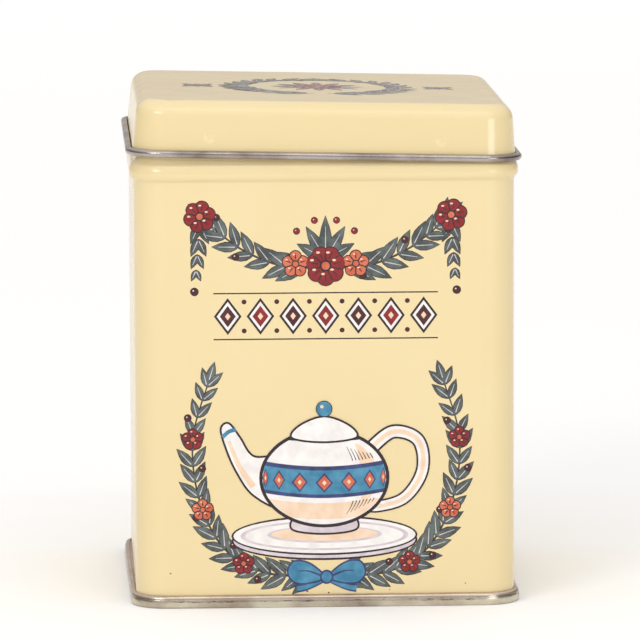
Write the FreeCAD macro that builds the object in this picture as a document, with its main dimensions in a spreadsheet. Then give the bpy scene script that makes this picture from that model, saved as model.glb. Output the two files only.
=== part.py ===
import FreeCAD, Part
import math
import os
import Sketcher
from FreeCAD import Vector

# A square tea tin with a slip lid, in millimetres. It is made of three pieces of thin tinplate:
# the body with its bead and neck, the drawn lid with a curled rim, and the base seamed on below.
# The tin is shut, so the body is closed and solid. X runs across the front and Z is up. The front
# faces -Y, and the origin is the middle of the foot, on the surface that the tin stands on.

SIZES = {
    # the wall of the body
    "side_width": 76.0,
    "side_depth": 76.0,
    "corner_radius": 6.5,
    "sheet_gauge": 0.27,
    # the bead, a rib rolled outwards round the top of the wall
    "bead_level": 87.0,
    "bead_half_height": 1.8,
    "bead_reach": 0.72,
    "bead_blend": 1.2,
    # the neck, which the lid slips over; it narrows upwards as the lid's skirt does
    "neck_step": 0.2,
    "neck_round": 1.0,
    # the lid, measured up from the middle of its curled rim
    "lid_rise": 10.5,
    "lid_draft": 5.0,
    "lid_edge_radius": 3.2,
    "lid_clearance": 0.2,
    "curl_diameter": 1.55,
    "curl_gap": 0.14,
    # how the lid sits: down on the right, a little high on the left
    "lid_tilt": 1.25,
    "rim_gap": 0.1,
    "panel_gap": 0.9,
    # the dimples in the lid's skirt that grip the neck
    "dimple_spacing": 46.0,
    "dimple_level": 3.3,
    "dimple_diameter": 2.2,
    "dimple_depth": 0.2,
    # the base: a seam round the foot and a recessed panel inside it
    "seam_height": 2.55,
    "seam_reach": 1.1,
    "seam_thickness": 1.75,
    "seam_top_round": 0.8,
    "seam_foot_round": 0.4,
    "panel_recess": 1.9,
    "panel_blend": 0.5,
    "panel_margin": 7.0,
    "panel_corner": 5.0,
    "panel_step": 0.5,
    "panel_slope": 45.0,
    # the lock seam that closes the body, down the back
    "lock_offset": 24.0,
    "lock_width": 4.6,
    "lock_rise": 0.2,
    "lock_groove": 0.3,
}

# How near two levels count as the same, when edges are picked by their level.
TOUCH = 1e-4

doc = FreeCAD.newDocument("tea_tin")
sheet = doc.addObject("Spreadsheet::Sheet", "Sizes")
for row, (alias, value) in enumerate(SIZES.items(), start=1):
    sheet.set(f"A{row}", alias)
    sheet.set(f"B{row}", str(value))
    sheet.setAlias(f"B{row}", alias)
doc.recompute()

# Levels, and insets from the wall, that several pieces share.
FOOT_TOP = "Sizes.panel_recess + Sizes.sheet_gauge"
BEAD_FOOT = "Sizes.bead_level - Sizes.bead_half_height"
BEAD_TOP = "Sizes.bead_level + Sizes.bead_half_height"
RIM_LEVEL = f"{BEAD_TOP} + Sizes.rim_gap + Sizes.curl_diameter / 2"
NECK_TOP = f"{RIM_LEVEL} + Sizes.lid_rise - Sizes.sheet_gauge - Sizes.panel_gap"
SKIRT_INSIDE = "Sizes.neck_step - Sizes.lid_clearance"
SKIRT_OUTSIDE = f"{SKIRT_INSIDE} - Sizes.sheet_gauge"
CURL_MIDDLE = f"{SKIRT_INSIDE} - Sizes.curl_diameter / 2"
SEAM_INSIDE = "Sizes.seam_thickness - Sizes.seam_reach"
HALF_WIDTH = "Sizes.side_width / 2"
HALF_DEPTH = "Sizes.side_depth / 2"
# The ball whose cap is a dimple's pit.
DIMPLE_BALL = "((Sizes.dimple_diameter / 2) ^ 2 + Sizes.dimple_depth ^ 2) / (2 * Sizes.dimple_depth)"


def size(expression):
    """The value of a sheet expression, for a sketch's first drawing and for picking edges."""
    return float(sheet.evalExpression(expression))


def origin_plane(body, role):
    """One of the body's own three origin planes."""
    return next(item for item in body.Origin.OriginFeatures if item.Role == role)


def new_sketch(body, name, role="XY_Plane", offset=None):
    """An empty sketch on an origin plane, moved off it by the expressions in offset."""
    sketch = body.newObject("Sketcher::SketchObject", name)
    sketch.AttachmentSupport = [(origin_plane(body, role), "")]
    sketch.MapMode = "FlatFace"
    for axis, expression in (offset or {}).items():
        sketch.setExpression(f"AttachmentOffset.Base.{axis}", expression)
    return sketch


def rule(sketch, *constraint):
    """Adds one constraint that has no size."""
    sketch.addConstraint(Sketcher.Constraint(*constraint))


def bind(sketch, name, expression, *constraint):
    """Adds a sized constraint under its own name and ties it to the sheet."""
    index = sketch.addConstraint(Sketcher.Constraint(*constraint, size(expression)))
    sketch.renameConstraint(index, name)
    sketch.setExpression(f"Constraints.{name}", expression)


def line(start, end):
    """A straight edge between two points of a sketch."""
    return Part.LineSegment(Vector(*start), Vector(*end))


def arc(centre, radius, start_deg, end_deg):
    """An arc, counter-clockwise from one angle to the other."""
    circle = Part.Circle(Vector(*centre), Vector(0, 0, 1), radius)
    return Part.ArcOfCircle(circle, math.radians(start_deg), math.radians(end_deg))


def rounded_outline(body, name, inset="0", level="0", corner_rule=None):
    """The tin's rounded square, inset from the wall (outset if negative) and raised to a level.

    Its corners run at an even distance from the wall's, unless corner_rule gives their radius."""
    width = f"Sizes.side_width - 2 * ({inset})"
    depth = f"Sizes.side_depth - 2 * ({inset})"
    radius = corner_rule or f"Sizes.corner_radius - ({inset})"
    half_x, half_y, corner = size(width) / 2, size(depth) / 2, size(radius)
    flat_x, flat_y = half_x - corner, half_y - corner
    sketch = new_sketch(body, name, offset={"z": level})
    sketch.addGeometry([
        line((-flat_x, -half_y), (flat_x, -half_y)),
        arc((flat_x, -flat_y), corner, 270, 360),
        line((half_x, -flat_y), (half_x, flat_y)),
        arc((flat_x, flat_y), corner, 0, 90),
        line((flat_x, half_y), (-flat_x, half_y)),
        arc((-flat_x, flat_y), corner, 90, 180),
        line((-half_x, flat_y), (-half_x, -flat_y)),
        arc((-flat_x, -flat_y), corner, 180, 270),
    ], False)
    for edge in range(8):
        rule(sketch, "Tangent", edge, 2, (edge + 1) % 8, 1)
    for edge in (3, 5, 7):
        rule(sketch, "Equal", 1, edge)
    rule(sketch, "Symmetric", 0, 1, 0, 2, -2)
    rule(sketch, "Symmetric", 2, 1, 2, 2, -1)
    rule(sketch, "Horizontal", 4)
    rule(sketch, "Vertical", 6)
    bind(sketch, "width", width, "DistanceX", 6, 1, 2, 1)
    bind(sketch, "depth", depth, "DistanceY", 0, 1, 4, 1)
    bind(sketch, "radius", radius, "Radius", 1)
    return sketch


def section_sketch(body, name, edges, joints):
    """A section on the XZ plane, with each (edge, end, next edge, its end) of joints made to meet."""
    sketch = new_sketch(body, name, "XZ_Plane")
    sketch.addGeometry(edges, False)
    for joint in joints:
        rule(sketch, "Coincident", *joint)
    return sketch


def place_point(sketch, name, edge, end, across, up):
    """Ties one point of a section to its distance from the tin's axis and its height."""
    bind(sketch, f"{name}_across", across, "DistanceX", -1, 1, edge, end)
    bind(sketch, f"{name}_up", up, "DistanceY", -1, 1, edge, end)


def extrude(body, kind, name, profile, length, taper, against=False):
    """A Pad or a Pocket whose walls lean inwards by taper degrees; against turns it round."""
    feature = body.newObject(f"PartDesign::{kind}", name)
    feature.Profile = profile
    feature.Reversed = against
    feature.setExpression("Length", length)
    feature.setExpression("TaperAngle", f"-({taper})")
    doc.recompute()
    return feature


def pad(body, name, profile, length, taper="0", downward=False):
    """A pad, upwards from its sketch unless downward is set."""
    return extrude(body, "Pad", name, profile, length, taper, downward)


def pocket(body, name, profile, length, taper="0"):
    """A pocket cut upwards from its sketch."""
    return extrude(body, "Pocket", name, profile, length, taper, True)


def sweep(body, name, section, path):
    """The section carried once round the path and joined to the body."""
    doc.recompute()
    feature = body.newObject("PartDesign::AdditivePipe", name)
    feature.Profile = section
    feature.Spine = (path, [f"Edge{number}" for number in range(1, len(path.Shape.Edges) + 1)])
    doc.recompute()
    return feature


def level_edges(shape, lowest, highest):
    """Names of the edges that lie flat between two levels."""
    names = []
    for number, edge in enumerate(shape.Edges, start=1):
        box = edge.BoundBox
        if box.ZLength < TOUCH and lowest - TOUCH < box.ZMin < highest + TOUCH:
            names.append(f"Edge{number}")
    return names


def fillet(body, name, base, edges, radius):
    """Rounds the named edges of base."""
    feature = body.newObject("PartDesign::Fillet", name)
    feature.Base = (base, edges)
    feature.setExpression("Radius", radius)
    doc.recompute()
    return feature


def make_body():
    """The body: a rounded square wall, a bead round its top, the neck above and the lock seam behind."""
    body = doc.addObject("PartDesign::Body", "body")
    wall_outline = rounded_outline(body, "wall_outline", level=FOOT_TOP)
    pad(body, "wall", wall_outline, f"Sizes.bead_level - ({FOOT_TOP})")
    neck_outline = rounded_outline(body, "neck_outline", "Sizes.neck_step", "Sizes.bead_level")
    neck = pad(body, "neck", neck_outline, f"{NECK_TOP} - Sizes.bead_level", "Sizes.lid_draft")
    neck_top = size(NECK_TOP)
    fillet(body, "neck_edge", neck, level_edges(neck.Shape, neck_top, neck_top), "Sizes.neck_round")
    bead = add_bead(body, wall_outline)
    foot, crown, blend = size(BEAD_FOOT), size(BEAD_TOP), size("Sizes.bead_blend")
    creases = level_edges(bead.Shape, foot, foot) + level_edges(bead.Shape, crown - blend, crown + blend)
    fillet(body, "bead_run_out", bead, creases, "Sizes.bead_blend")
    add_lock_seam(body)
    return body


def add_bead(body, path):
    """The bead: an arc in section that swells out of the wall and ends inside the neck."""
    radius_rule = "(Sizes.bead_half_height ^ 2 + Sizes.bead_reach ^ 2) / (2 * Sizes.bead_reach)"
    middle_rule = f"{HALF_WIDTH} + Sizes.bead_reach - {radius_rule}"
    half, rise, level = (size(text) for text in (HALF_WIDTH, "Sizes.bead_half_height", "Sizes.bead_level"))
    radius, middle = size(radius_rule), size(middle_rule)
    foot_angle = -math.degrees(math.asin(rise / radius))
    section = section_sketch(body, "bead_section", [
        arc((middle, level), radius, foot_angle, 90),
        line((middle, level + radius), (middle, level - rise)),
        line((middle, level - rise), (half, level - rise)),
    ], [(0, 2, 1, 1), (1, 2, 2, 1), (2, 2, 0, 1)])
    rule(section, "Vertical", 1)
    rule(section, "Horizontal", 2)
    rule(section, "Vertical", 0, 3, 1, 1)
    bind(section, "radius", radius_rule, "Radius", 0)
    place_point(section, "foot", 2, 2, HALF_WIDTH, BEAD_FOOT)
    bind(section, "level", "Sizes.bead_level", "DistanceY", -1, 1, 0, 3)
    return sweep(body, "bead", section, path)


def add_lock_seam(body):
    """The lock seam: the sheet's folded joint, a flat strip proud of the back wall beside a groove."""
    inner = "Sizes.lock_offset - Sizes.lock_width / 2"
    outer = "Sizes.lock_offset + Sizes.lock_width / 2"
    strip = new_sketch(body, "lock_plan", offset={"z": "Sizes.seam_height"})
    left, right, back, rise, groove = (size(text) for text in (
        inner, outer, HALF_DEPTH, "Sizes.lock_rise", "Sizes.lock_groove"))
    strip.addGeometry([
        line((left, back - groove), (right, back - groove)),
        line((right, back - groove), (right, back)),
        line((right, back), (right - rise, back + rise)),
        line((right - rise, back + rise), (left, back + rise)),
        line((left, back + rise), (left, back - groove)),
    ], False)
    for edge in range(5):
        rule(strip, "Coincident", edge, 2, (edge + 1) % 5, 1)
    for edge in (0, 3):
        rule(strip, "Horizontal", edge)
    for edge in (1, 4):
        rule(strip, "Vertical", edge)
    place_point(strip, "inner", 0, 1, inner, f"{HALF_DEPTH} - Sizes.lock_groove")
    place_point(strip, "outer", 1, 2, outer, HALF_DEPTH)
    place_point(strip, "ramp", 2, 2, f"{outer} - Sizes.lock_rise", f"{HALF_DEPTH} + Sizes.lock_rise")
    pad(body, "lock_strip", strip, "Sizes.bead_level - Sizes.seam_height")
    slot = new_sketch(body, "groove_plan", offset={"z": "Sizes.seam_height"})
    slot.addGeometry([
        line((left, back + rise), (left, back - groove)),
        line((left, back - groove), (left - groove, back + rise)),
        line((left - groove, back + rise), (left, back + rise)),
    ], False)
    for edge in range(3):
        rule(slot, "Coincident", edge, 2, (edge + 1) % 3, 1)
    rule(slot, "Vertical", 0)
    rule(slot, "Horizontal", 2)
    place_point(slot, "mouth", 0, 1, inner, f"{HALF_DEPTH} + Sizes.lock_rise")
    bind(slot, "root", f"{HALF_DEPTH} - Sizes.lock_groove", "DistanceY", -1, 1, 0, 2)
    bind(slot, "opening", "Sizes.lock_groove", "DistanceX", 1, 2, 0, 1)
    return pocket(body, "lock_groove", slot, f"{BEAD_FOOT} - Sizes.bead_blend - Sizes.seam_height")


def make_lid():
    """The lid: a shallow drawn cup with a curl round its lower edge, set a little askew on the neck."""
    body = doc.addObject("PartDesign::Body", "lid")
    outside = rounded_outline(body, "skirt_outline", SKIRT_OUTSIDE)
    cup = pad(body, "cup", outside, "Sizes.lid_rise", "Sizes.lid_draft")
    inside = rounded_outline(body, "hollow_outline", SKIRT_INSIDE)
    hollow = pocket(body, "hollow", inside, "Sizes.lid_rise - Sizes.sheet_gauge", "Sizes.lid_draft")
    ceiling = size("Sizes.lid_rise - Sizes.sheet_gauge")
    inner = fillet(body, "inner_edge", hollow, level_edges(hollow.Shape, ceiling, ceiling),
                   "Sizes.lid_edge_radius - Sizes.sheet_gauge")
    top = size("Sizes.lid_rise")
    fillet(body, "outer_edge", inner, level_edges(inner.Shape, top, top), "Sizes.lid_edge_radius")
    add_curl(body)
    add_dimples(body)
    body.Placement = FreeCAD.Placement(Vector(), FreeCAD.Rotation(Vector(0, 1, 0), 1))
    body.setExpression("Placement.Rotation.Angle", "Sizes.lid_tilt")
    body.setExpression("Placement.Base.z", f"{RIM_LEVEL} + {HALF_WIDTH} * sin(Sizes.lid_tilt * 1deg)")
    return body


def add_curl(body):
    """The curl: the skirt's edge rolled outwards and up into a C that stops just short of the skirt."""
    path = rounded_outline(body, "curl_path", CURL_MIDDLE)
    middle = size(f"{HALF_WIDTH} - ({CURL_MIDDLE})")
    radius = size("Sizes.curl_diameter / 2")
    gauge = size("Sizes.sheet_gauge")
    reach_back = radius - size("Sizes.sheet_gauge + Sizes.curl_gap")
    free_end = math.degrees(math.acos(-reach_back / radius))
    outer_tip = Vector(-reach_back, radius * math.sin(math.radians(free_end)), 0)
    inner_tip = outer_tip * ((radius - gauge) / radius)
    section = section_sketch(body, "curl_section", [
        arc((middle, 0), radius, 180, 360 + free_end),
        arc((middle, 0), radius - gauge, 180, 360 + free_end),
        line((middle + outer_tip.x, outer_tip.y), (middle + inner_tip.x, inner_tip.y)),
        line((middle - radius, 0), (middle - radius + gauge, 0)),
    ], [(0, 3, 1, 3), (0, 2, 2, 1), (1, 2, 2, 2), (0, 1, 3, 1), (1, 1, 3, 2)])
    rule(section, "PointOnObject", 0, 3, 2)
    rule(section, "PointOnObject", 0, 3, -1)
    rule(section, "PointOnObject", 0, 1, -1)
    rule(section, "PointOnObject", 1, 1, -1)
    bind(section, "outer_radius", "Sizes.curl_diameter / 2", "Radius", 0)
    bind(section, "inner_radius", "Sizes.curl_diameter / 2 - Sizes.sheet_gauge", "Radius", 1)
    bind(section, "middle", f"{HALF_WIDTH} - ({CURL_MIDDLE})", "DistanceX", -1, 1, 0, 3)
    bind(section, "tip", "Sizes.sheet_gauge + Sizes.curl_gap", "DistanceX", 0, 1, 0, 2)
    return sweep(body, "curl", section, path)


def dimple_sketch(body, name, radius, start):
    """Half the section of a dimple, from start inwards, about an axis square to the front of the skirt."""
    skirt_face = f"{HALF_DEPTH} - ({SKIRT_OUTSIDE}) - Sizes.dimple_level * tan(Sizes.lid_draft * 1deg)"
    sketch = new_sketch(body, name, "YZ_Plane", {
        "x": f"-({skirt_face})",
        "y": "Sizes.dimple_level",
        "z": "Sizes.dimple_spacing / 2",
    })
    sketch.setExpression("AttachmentOffset.Rotation.Angle", "-Sizes.lid_draft")
    middle = f"Sizes.dimple_depth - {DIMPLE_BALL}"
    ball, centre, mouth = size(radius), size(middle), size(start)
    edge_up = math.sqrt(ball ** 2 - (mouth - centre) ** 2)
    edge_angle = math.degrees(math.atan2(edge_up, mouth - centre))
    sketch.addGeometry([
        arc((centre, 0), ball, 0, edge_angle),
        line((mouth, edge_up), (mouth, 0)),
        line((mouth, 0), (centre + ball, 0)),
    ], False)
    for joint in ((0, 2, 1, 1), (1, 2, 2, 1), (2, 2, 0, 1)):
        rule(sketch, "Coincident", *joint)
    rule(sketch, "PointOnObject", 0, 3, -1)
    rule(sketch, "Horizontal", 2)
    rule(sketch, "PointOnObject", 0, 1, -1)
    rule(sketch, "Vertical", 1)
    bind(sketch, "ball", radius, "Radius", 0)
    bind(sketch, "middle", middle, "DistanceX", -1, 1, 0, 3)
    bind(sketch, "mouth", start, "DistanceX", -1, 1, 1, 2)
    return sketch


def revolve(body, kind, name, sketch):
    """A full turn of the sketch about its own horizontal axis."""
    doc.recompute()
    feature = body.newObject(f"PartDesign::{kind}", name)
    feature.Profile = sketch
    feature.ReferenceAxis = (sketch, ["H_Axis"])
    feature.Angle = 360
    doc.recompute()
    return feature


def add_dimples(body):
    """Four dimples pressed into the skirt, two in front and two behind: a bump inside, a pit outside."""
    bump = revolve(body, "Revolution", "dimple_bump", dimple_sketch(
        body, "bump_section", f"{DIMPLE_BALL} + Sizes.sheet_gauge", "Sizes.sheet_gauge / 2"))
    pit = revolve(body, "Groove", "dimple_pit", dimple_sketch(
        body, "pit_section", DIMPLE_BALL, "-Sizes.sheet_gauge"))
    pattern = body.newObject("PartDesign::MultiTransform", "dimples")
    pattern.Originals = [bump, pit]
    mirrors = []
    for name, role in (("across", "YZ_Plane"), ("behind", "XZ_Plane")):
        mirror = body.newObject("PartDesign::Mirrored", f"dimples_{name}")
        mirror.MirrorPlane = (origin_plane(body, role), [""])
        mirrors.append(mirror)
    pattern.Transformations = mirrors
    body.Tip = pattern
    doc.recompute()
    return pattern


def make_base():
    """The base: a seam that grips the foot of the wall, and a recessed panel with a pressed step."""
    body = doc.addObject("PartDesign::Body", "base")
    path = rounded_outline(body, "seam_path")
    outer, inner = f"{HALF_WIDTH} + Sizes.seam_reach", f"{HALF_WIDTH} - ({SEAM_INSIDE})"
    half, outside, inside = size(HALF_WIDTH), size(outer), size(inner)
    top, shelf = size("Sizes.seam_height"), size(FOOT_TOP)
    crest, toe = size("Sizes.seam_top_round"), size("Sizes.seam_foot_round")
    section = section_sketch(body, "seam_section", [
        line((half, top), (outside - crest, top)),
        arc((outside - crest, top - crest), crest, 0, 90),
        line((outside, top - crest), (outside, toe)),
        arc((outside - toe, toe), toe, 270, 360),
        line((outside - toe, 0), (inside + toe, 0)),
        arc((inside + toe, toe), toe, 180, 270),
        line((inside, toe), (inside, shelf)),
        line((inside, shelf), (half, shelf)),
        line((half, shelf), (half, top)),
    ], [(6, 2, 7, 1), (7, 2, 8, 1), (8, 2, 0, 1)])
    for first, first_end, second, second_end in (
            (0, 2, 1, 2), (1, 1, 2, 1), (2, 2, 3, 2), (3, 1, 4, 1), (4, 2, 5, 2), (5, 1, 6, 1)):
        rule(section, "Tangent", first, first_end, second, second_end)
    for edge in (0, 7):
        rule(section, "Horizontal", edge)
    for edge in (2, 8):
        rule(section, "Vertical", edge)
    rule(section, "PointOnObject", 4, 1, -1)
    rule(section, "PointOnObject", 4, 2, -1)
    rule(section, "Equal", 3, 5)
    bind(section, "crest", "Sizes.seam_top_round", "Radius", 1)
    bind(section, "toe", "Sizes.seam_foot_round", "Radius", 3)
    place_point(section, "mouth", 0, 1, HALF_WIDTH, "Sizes.seam_height")
    place_point(section, "shelf", 6, 2, inner, FOOT_TOP)
    bind(section, "outer", outer, "DistanceX", -1, 1, 2, 1)
    sweep(body, "seam", section, path)
    panel_outline = rounded_outline(body, "panel_outline", level="Sizes.panel_recess")
    pad(body, "panel", panel_outline, "Sizes.sheet_gauge")
    step_outline = rounded_outline(body, "step_outline", f"{SEAM_INSIDE} + Sizes.panel_margin",
                                   "Sizes.panel_recess", "Sizes.panel_corner")
    step = pad(body, "step", step_outline, "Sizes.panel_step", "Sizes.panel_slope", downward=True)
    recess = size("Sizes.panel_recess")
    fillet(body, "panel_blend", step, level_edges(step.Shape, recess, recess), "Sizes.panel_blend")
    return body


pieces = [make_body(), make_lid(), make_base()]
doc.recompute()
for item in doc.Objects:
    if "Invalid" in item.State or "Error" in item.State:
        raise RuntimeError(f"{item.Label} failed: {item.State}")
for piece in pieces:
    if piece.Shape.isNull() or not piece.Shape.isValid() or len(piece.Shape.Solids) != 1:
        raise RuntimeError(f"{piece.Label} is not one valid solid")
os.makedirs("parts", exist_ok=True)
for piece in pieces:
    piece.Shape.exportStep(f"parts/{piece.Label}.step")
    print(f"{piece.Label}: {piece.Shape.Volume:.1f} mm3")
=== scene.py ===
"""A square tea tin of printed tinplate with a slip lid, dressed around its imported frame.

Every size is in millimetres, and each mesh is brought to metres once, when its piece is made.
X runs across the front, the front faces -Y, Z is up, and the tin stands on Z = 0.
"""

import logging
import math
import random
from collections.abc import Callable, Iterable, Sequence
from dataclasses import dataclass, field
from enum import Enum

import bmesh
import bpy
from bmesh.types import BMEdge, BMesh, BMFace, BMVert
from bpy.types import Material, Node, NodeSocket, NodeTree, Object
from mathutils import Matrix, Vector


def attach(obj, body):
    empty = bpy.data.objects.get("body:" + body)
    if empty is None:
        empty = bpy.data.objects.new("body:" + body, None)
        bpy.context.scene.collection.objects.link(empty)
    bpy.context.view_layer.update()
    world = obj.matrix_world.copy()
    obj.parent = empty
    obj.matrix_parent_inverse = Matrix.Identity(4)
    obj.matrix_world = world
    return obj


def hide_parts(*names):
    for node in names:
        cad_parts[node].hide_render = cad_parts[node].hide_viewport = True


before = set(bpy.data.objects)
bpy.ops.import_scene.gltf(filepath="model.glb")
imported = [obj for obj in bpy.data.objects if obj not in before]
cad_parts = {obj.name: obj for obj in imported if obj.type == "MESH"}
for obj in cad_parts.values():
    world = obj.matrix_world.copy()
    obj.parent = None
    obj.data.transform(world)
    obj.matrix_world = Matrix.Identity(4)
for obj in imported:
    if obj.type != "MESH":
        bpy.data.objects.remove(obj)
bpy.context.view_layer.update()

LOG = logging.getLogger("tea_tin")
MM = 0.001
WELD = 1e-4  # points nearer than this, in millimetres, are one point
Point = tuple[float, float]


class Slot(Enum):
    """The record's material slots."""

    LACQUER = "cream_lacquer"
    TINPLATE = "tinplate"


# ---- materials


def linear(colour: str) -> tuple[float, float, float, float]:
    """Turns an sRGB hex colour such as "#f8e4ae" into linear RGBA."""
    channels = (int(colour[place:place + 2], 16) / 255 for place in (1, 3, 5))
    return *(c / 12.92 if c <= 0.04045 else ((c + 0.055) / 1.055) ** 2.4 for c in channels), 1.0


def per_mm(size: float) -> float:
    """The texture scale whose features are about that many millimetres across."""
    return 1 / (size * MM)


def add_node(tree: NodeTree, kind: str, inputs: dict | None = None, **settings: object) -> Node:
    """Adds a node with its settings, values and links.

    Args:
        tree: The node tree to add to.
        kind: The node's type name.
        inputs: A value, or an output to link from, for each input socket by name or number.
        settings: Properties of the node itself.

    Returns:
        The new node.
    """
    node = tree.nodes.new(kind)
    for name, value in settings.items():
        setattr(node, name, value)
    for name, value in (inputs or {}).items():
        if isinstance(value, NodeSocket):
            tree.links.new(value, node.inputs[name])
        else:
            node.inputs[name].default_value = value
    return node


def start_material(name: str) -> tuple[Material, NodeTree, NodeSocket]:
    """Starts a material.

    Args:
        name: The material's name.

    Returns:
        The material, its empty tree and the Object coordinates.
    """
    material = bpy.data.materials.new(name)
    material.use_nodes = True
    tree = material.node_tree
    tree.nodes.clear()
    return material, tree, add_node(tree, "ShaderNodeTexCoord").outputs["Object"]


def shade(tree: NodeTree, inputs: dict) -> None:
    """Ends a material's tree with a Principled shader that takes these values and links."""
    bsdf = add_node(tree, "ShaderNodeBsdfPrincipled", inputs)
    add_node(tree, "ShaderNodeOutputMaterial", {"Surface": bsdf.outputs["BSDF"]})


def noise(tree: NodeTree, vector: NodeSocket, size: float, detail: float = 2.0) -> NodeSocket:
    """Noise whose lumps are about size millimetres across, as a value from 0 to 1."""
    node = add_node(tree, "ShaderNodeTexNoise", {"Vector": vector, "Scale": per_mm(size), "Detail": detail})
    return node.outputs["Fac"]


def spread(tree: NodeTree, value: NodeSocket, ends: Point, to: Point) -> NodeSocket:
    """Maps a value from the range ends to the range to, and clamps it there."""
    node = add_node(tree, "ShaderNodeMapRange", {
        "Value": value, "From Min": ends[0], "From Max": ends[1], "To Min": to[0], "To Max": to[1]})
    return node.outputs["Result"]


def blend_colours(tree: NodeTree, factor: NodeSocket, first: object, second: object) -> NodeSocket:
    """Mixes two colours, each an RGBA value or an output, by a factor."""
    node = add_node(tree, "ShaderNodeMix", {"Factor": factor, 6: first, 7: second}, data_type="RGBA")
    return node.outputs[2]


@dataclass(frozen=True)
class Lacquer:
    """Stoved gloss lacquer, sprayed or printed on tinplate.

    It gives a smooth skin with a faint orange peel, a soft wave from the springy sheet below, and
    a colour that drifts a little from place to place.
    """

    name: str
    colour: str
    drift: str
    drift_size: float = 24.0
    drift_band: Point = (0.35, 0.68)
    gloss_size: float = 9.0
    gloss_band: Point = (0.35, 0.65)
    roughness: Point = (0.16, 0.22)
    peel_size: float = 0.55
    peel_depth: float = 0.0012
    wave_size: float = 34.0
    wave_depth: float = 0.05

    def build(self) -> Material:
        """Makes the material, or finds it where it is made already."""
        if self.name in bpy.data.materials:
            return bpy.data.materials[self.name]
        material, tree, place = start_material(self.name)
        drift = spread(tree, noise(tree, place, self.drift_size, 3.0), self.drift_band, (0.0, 1.0))
        gloss = noise(tree, place, self.gloss_size, 4.0)
        wave = add_node(tree, "ShaderNodeBump", {
            "Strength": 1.0, "Distance": self.wave_depth * MM,
            "Height": noise(tree, place, self.wave_size, 0.0)})
        peel = add_node(tree, "ShaderNodeBump", {
            "Strength": 1.0, "Distance": self.peel_depth * MM, "Height": noise(tree, place, self.peel_size),
            "Normal": wave.outputs["Normal"]})
        shade(tree, {
            "Base Color": blend_colours(tree, drift, linear(self.colour), linear(self.drift)),
            "Roughness": spread(tree, gloss, self.gloss_band, self.roughness),
            "Normal": peel.outputs["Normal"], "IOR": 1.5, "Metallic": 0.0})
        return material


@dataclass(frozen=True)
class Tinplate:
    """Bare electro-tinned steel, rolled and then curled in a die.

    It gives a soft grey mirror, drawn out in fine lines along the rim, with dull and tarnished patches.
    """

    name: str
    colour: str
    tarnish: str
    tarnish_size: float = 9.0
    tarnish_band: Point = (0.4, 0.66)
    roughness: Point = (0.2, 0.38)
    line_length: float = 22.0
    line_pitch: float = 0.12
    line_depth: float = 0.006
    line_band: Point = (0.52, 0.7)
    line_share: float = 0.3
    # Between these heights the rim gets a painted reflection, which darkens and warms its upper half, and
    # short dark dashes round its middle.
    dash_and_reflection_heights: Point | None = None
    # The dark dashes' stretch, size, band, share and colour.
    dash_stretch: tuple[float, float, float] = (0.5, 0.5, 2.6)
    dash_size: float = 0.8
    dash_band: Point = (0.56, 0.64)
    dash_share: float = 0.75
    dash_colour: str = "#5f5650"
    # The painted reflection's colour, and its greatest share at the top.
    painted_reflection: str = "#c4aa9b"
    painted_reflection_share: float = 0.55

    def build(self) -> Material:
        """Makes the material."""
        material, tree, place = start_material(self.name)
        along = add_node(tree, "ShaderNodeMapping", {
            "Vector": place, "Scale": (1 / self.line_length, 1 / self.line_length, 1 / self.line_pitch)})
        lines = noise(tree, along.outputs["Vector"], 1.0, 3.0)
        patches = spread(tree, noise(tree, place, self.tarnish_size, 4.0), self.tarnish_band, (0.0, 1.0))
        colour = blend_colours(tree, patches, linear(self.colour), linear(self.tarnish))
        scored = spread(tree, lines, self.line_band, (0.0, self.line_share))
        colour = blend_colours(tree, scored, colour, linear(self.tarnish))
        if self.dash_and_reflection_heights:
            colour = self.paint_reflection_and_dashes(tree, place, colour)
        bump = add_node(tree, "ShaderNodeBump", {
            "Strength": 1.0, "Distance": self.line_depth * MM, "Height": lines})
        shade(tree, {
            "Base Color": colour, "Roughness": spread(tree, lines, (0.3, 0.7), self.roughness),
            "Normal": bump.outputs["Normal"], "Metallic": 1.0})
        return material

    def paint_reflection_and_dashes(self, tree: NodeTree, place: NodeSocket, colour: NodeSocket) -> NodeSocket:
        """Paints a reflection into the rim's upper half, darker and warmer with height, and marks its middle
        with short dark dashes.

        Args:
            tree: The material's node tree.
            place: The Object coordinates.
            colour: The metal's colour so far.

        Returns:
            The colour with the painted reflection and the dashes in it.
        """
        low, high = self.dash_and_reflection_heights
        middle, reach = (low + high) / 2 * MM, (high - low) / 2 * MM
        up = add_node(tree, "ShaderNodeSeparateXYZ", {"Vector": place}).outputs["Z"]
        off = add_node(tree, "ShaderNodeMath", {0: up, 1: middle}, operation="SUBTRACT").outputs["Value"]
        off = add_node(tree, "ShaderNodeMath", {0: off}, operation="ABSOLUTE").outputs["Value"]
        belt = spread(tree, off, (reach * 0.4, reach), (1.0, 0.0))
        # Short dark dashes in a belt round the rim's middle.
        short = add_node(tree, "ShaderNodeMapping", {"Vector": place, "Scale": self.dash_stretch})
        marks = noise(tree, short.outputs["Vector"], self.dash_size, 3.0)
        marks = spread(tree, marks, self.dash_band, (0.0, self.dash_share))
        share = add_node(tree, "ShaderNodeMath", {0: belt, 1: marks}, operation="MULTIPLY").outputs["Value"]
        # Painted reflection: the rim turns darker and warmer from its middle upwards.
        painted_reflection = spread(tree, up, (middle, high * MM), (0.0, self.painted_reflection_share))
        colour = blend_colours(tree, painted_reflection, colour, linear(self.painted_reflection))
        return blend_colours(tree, share, colour, linear(self.dash_colour))


CREAM = Lacquer("cream_stoved_lacquer", "#e8d4a4", "#e7d2a0")
CURL_METAL = Tinplate("tinplate_curled", "#b4aba6", "#7f736b", roughness=(0.18, 0.3))
# The seam's rim carries a painted reflection on its upper half.
SEAM_METAL = Tinplate("tinplate_seamed", "#d6cfbb", "#a08f80", dash_and_reflection_heights=(1.0, 1.9))


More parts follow.
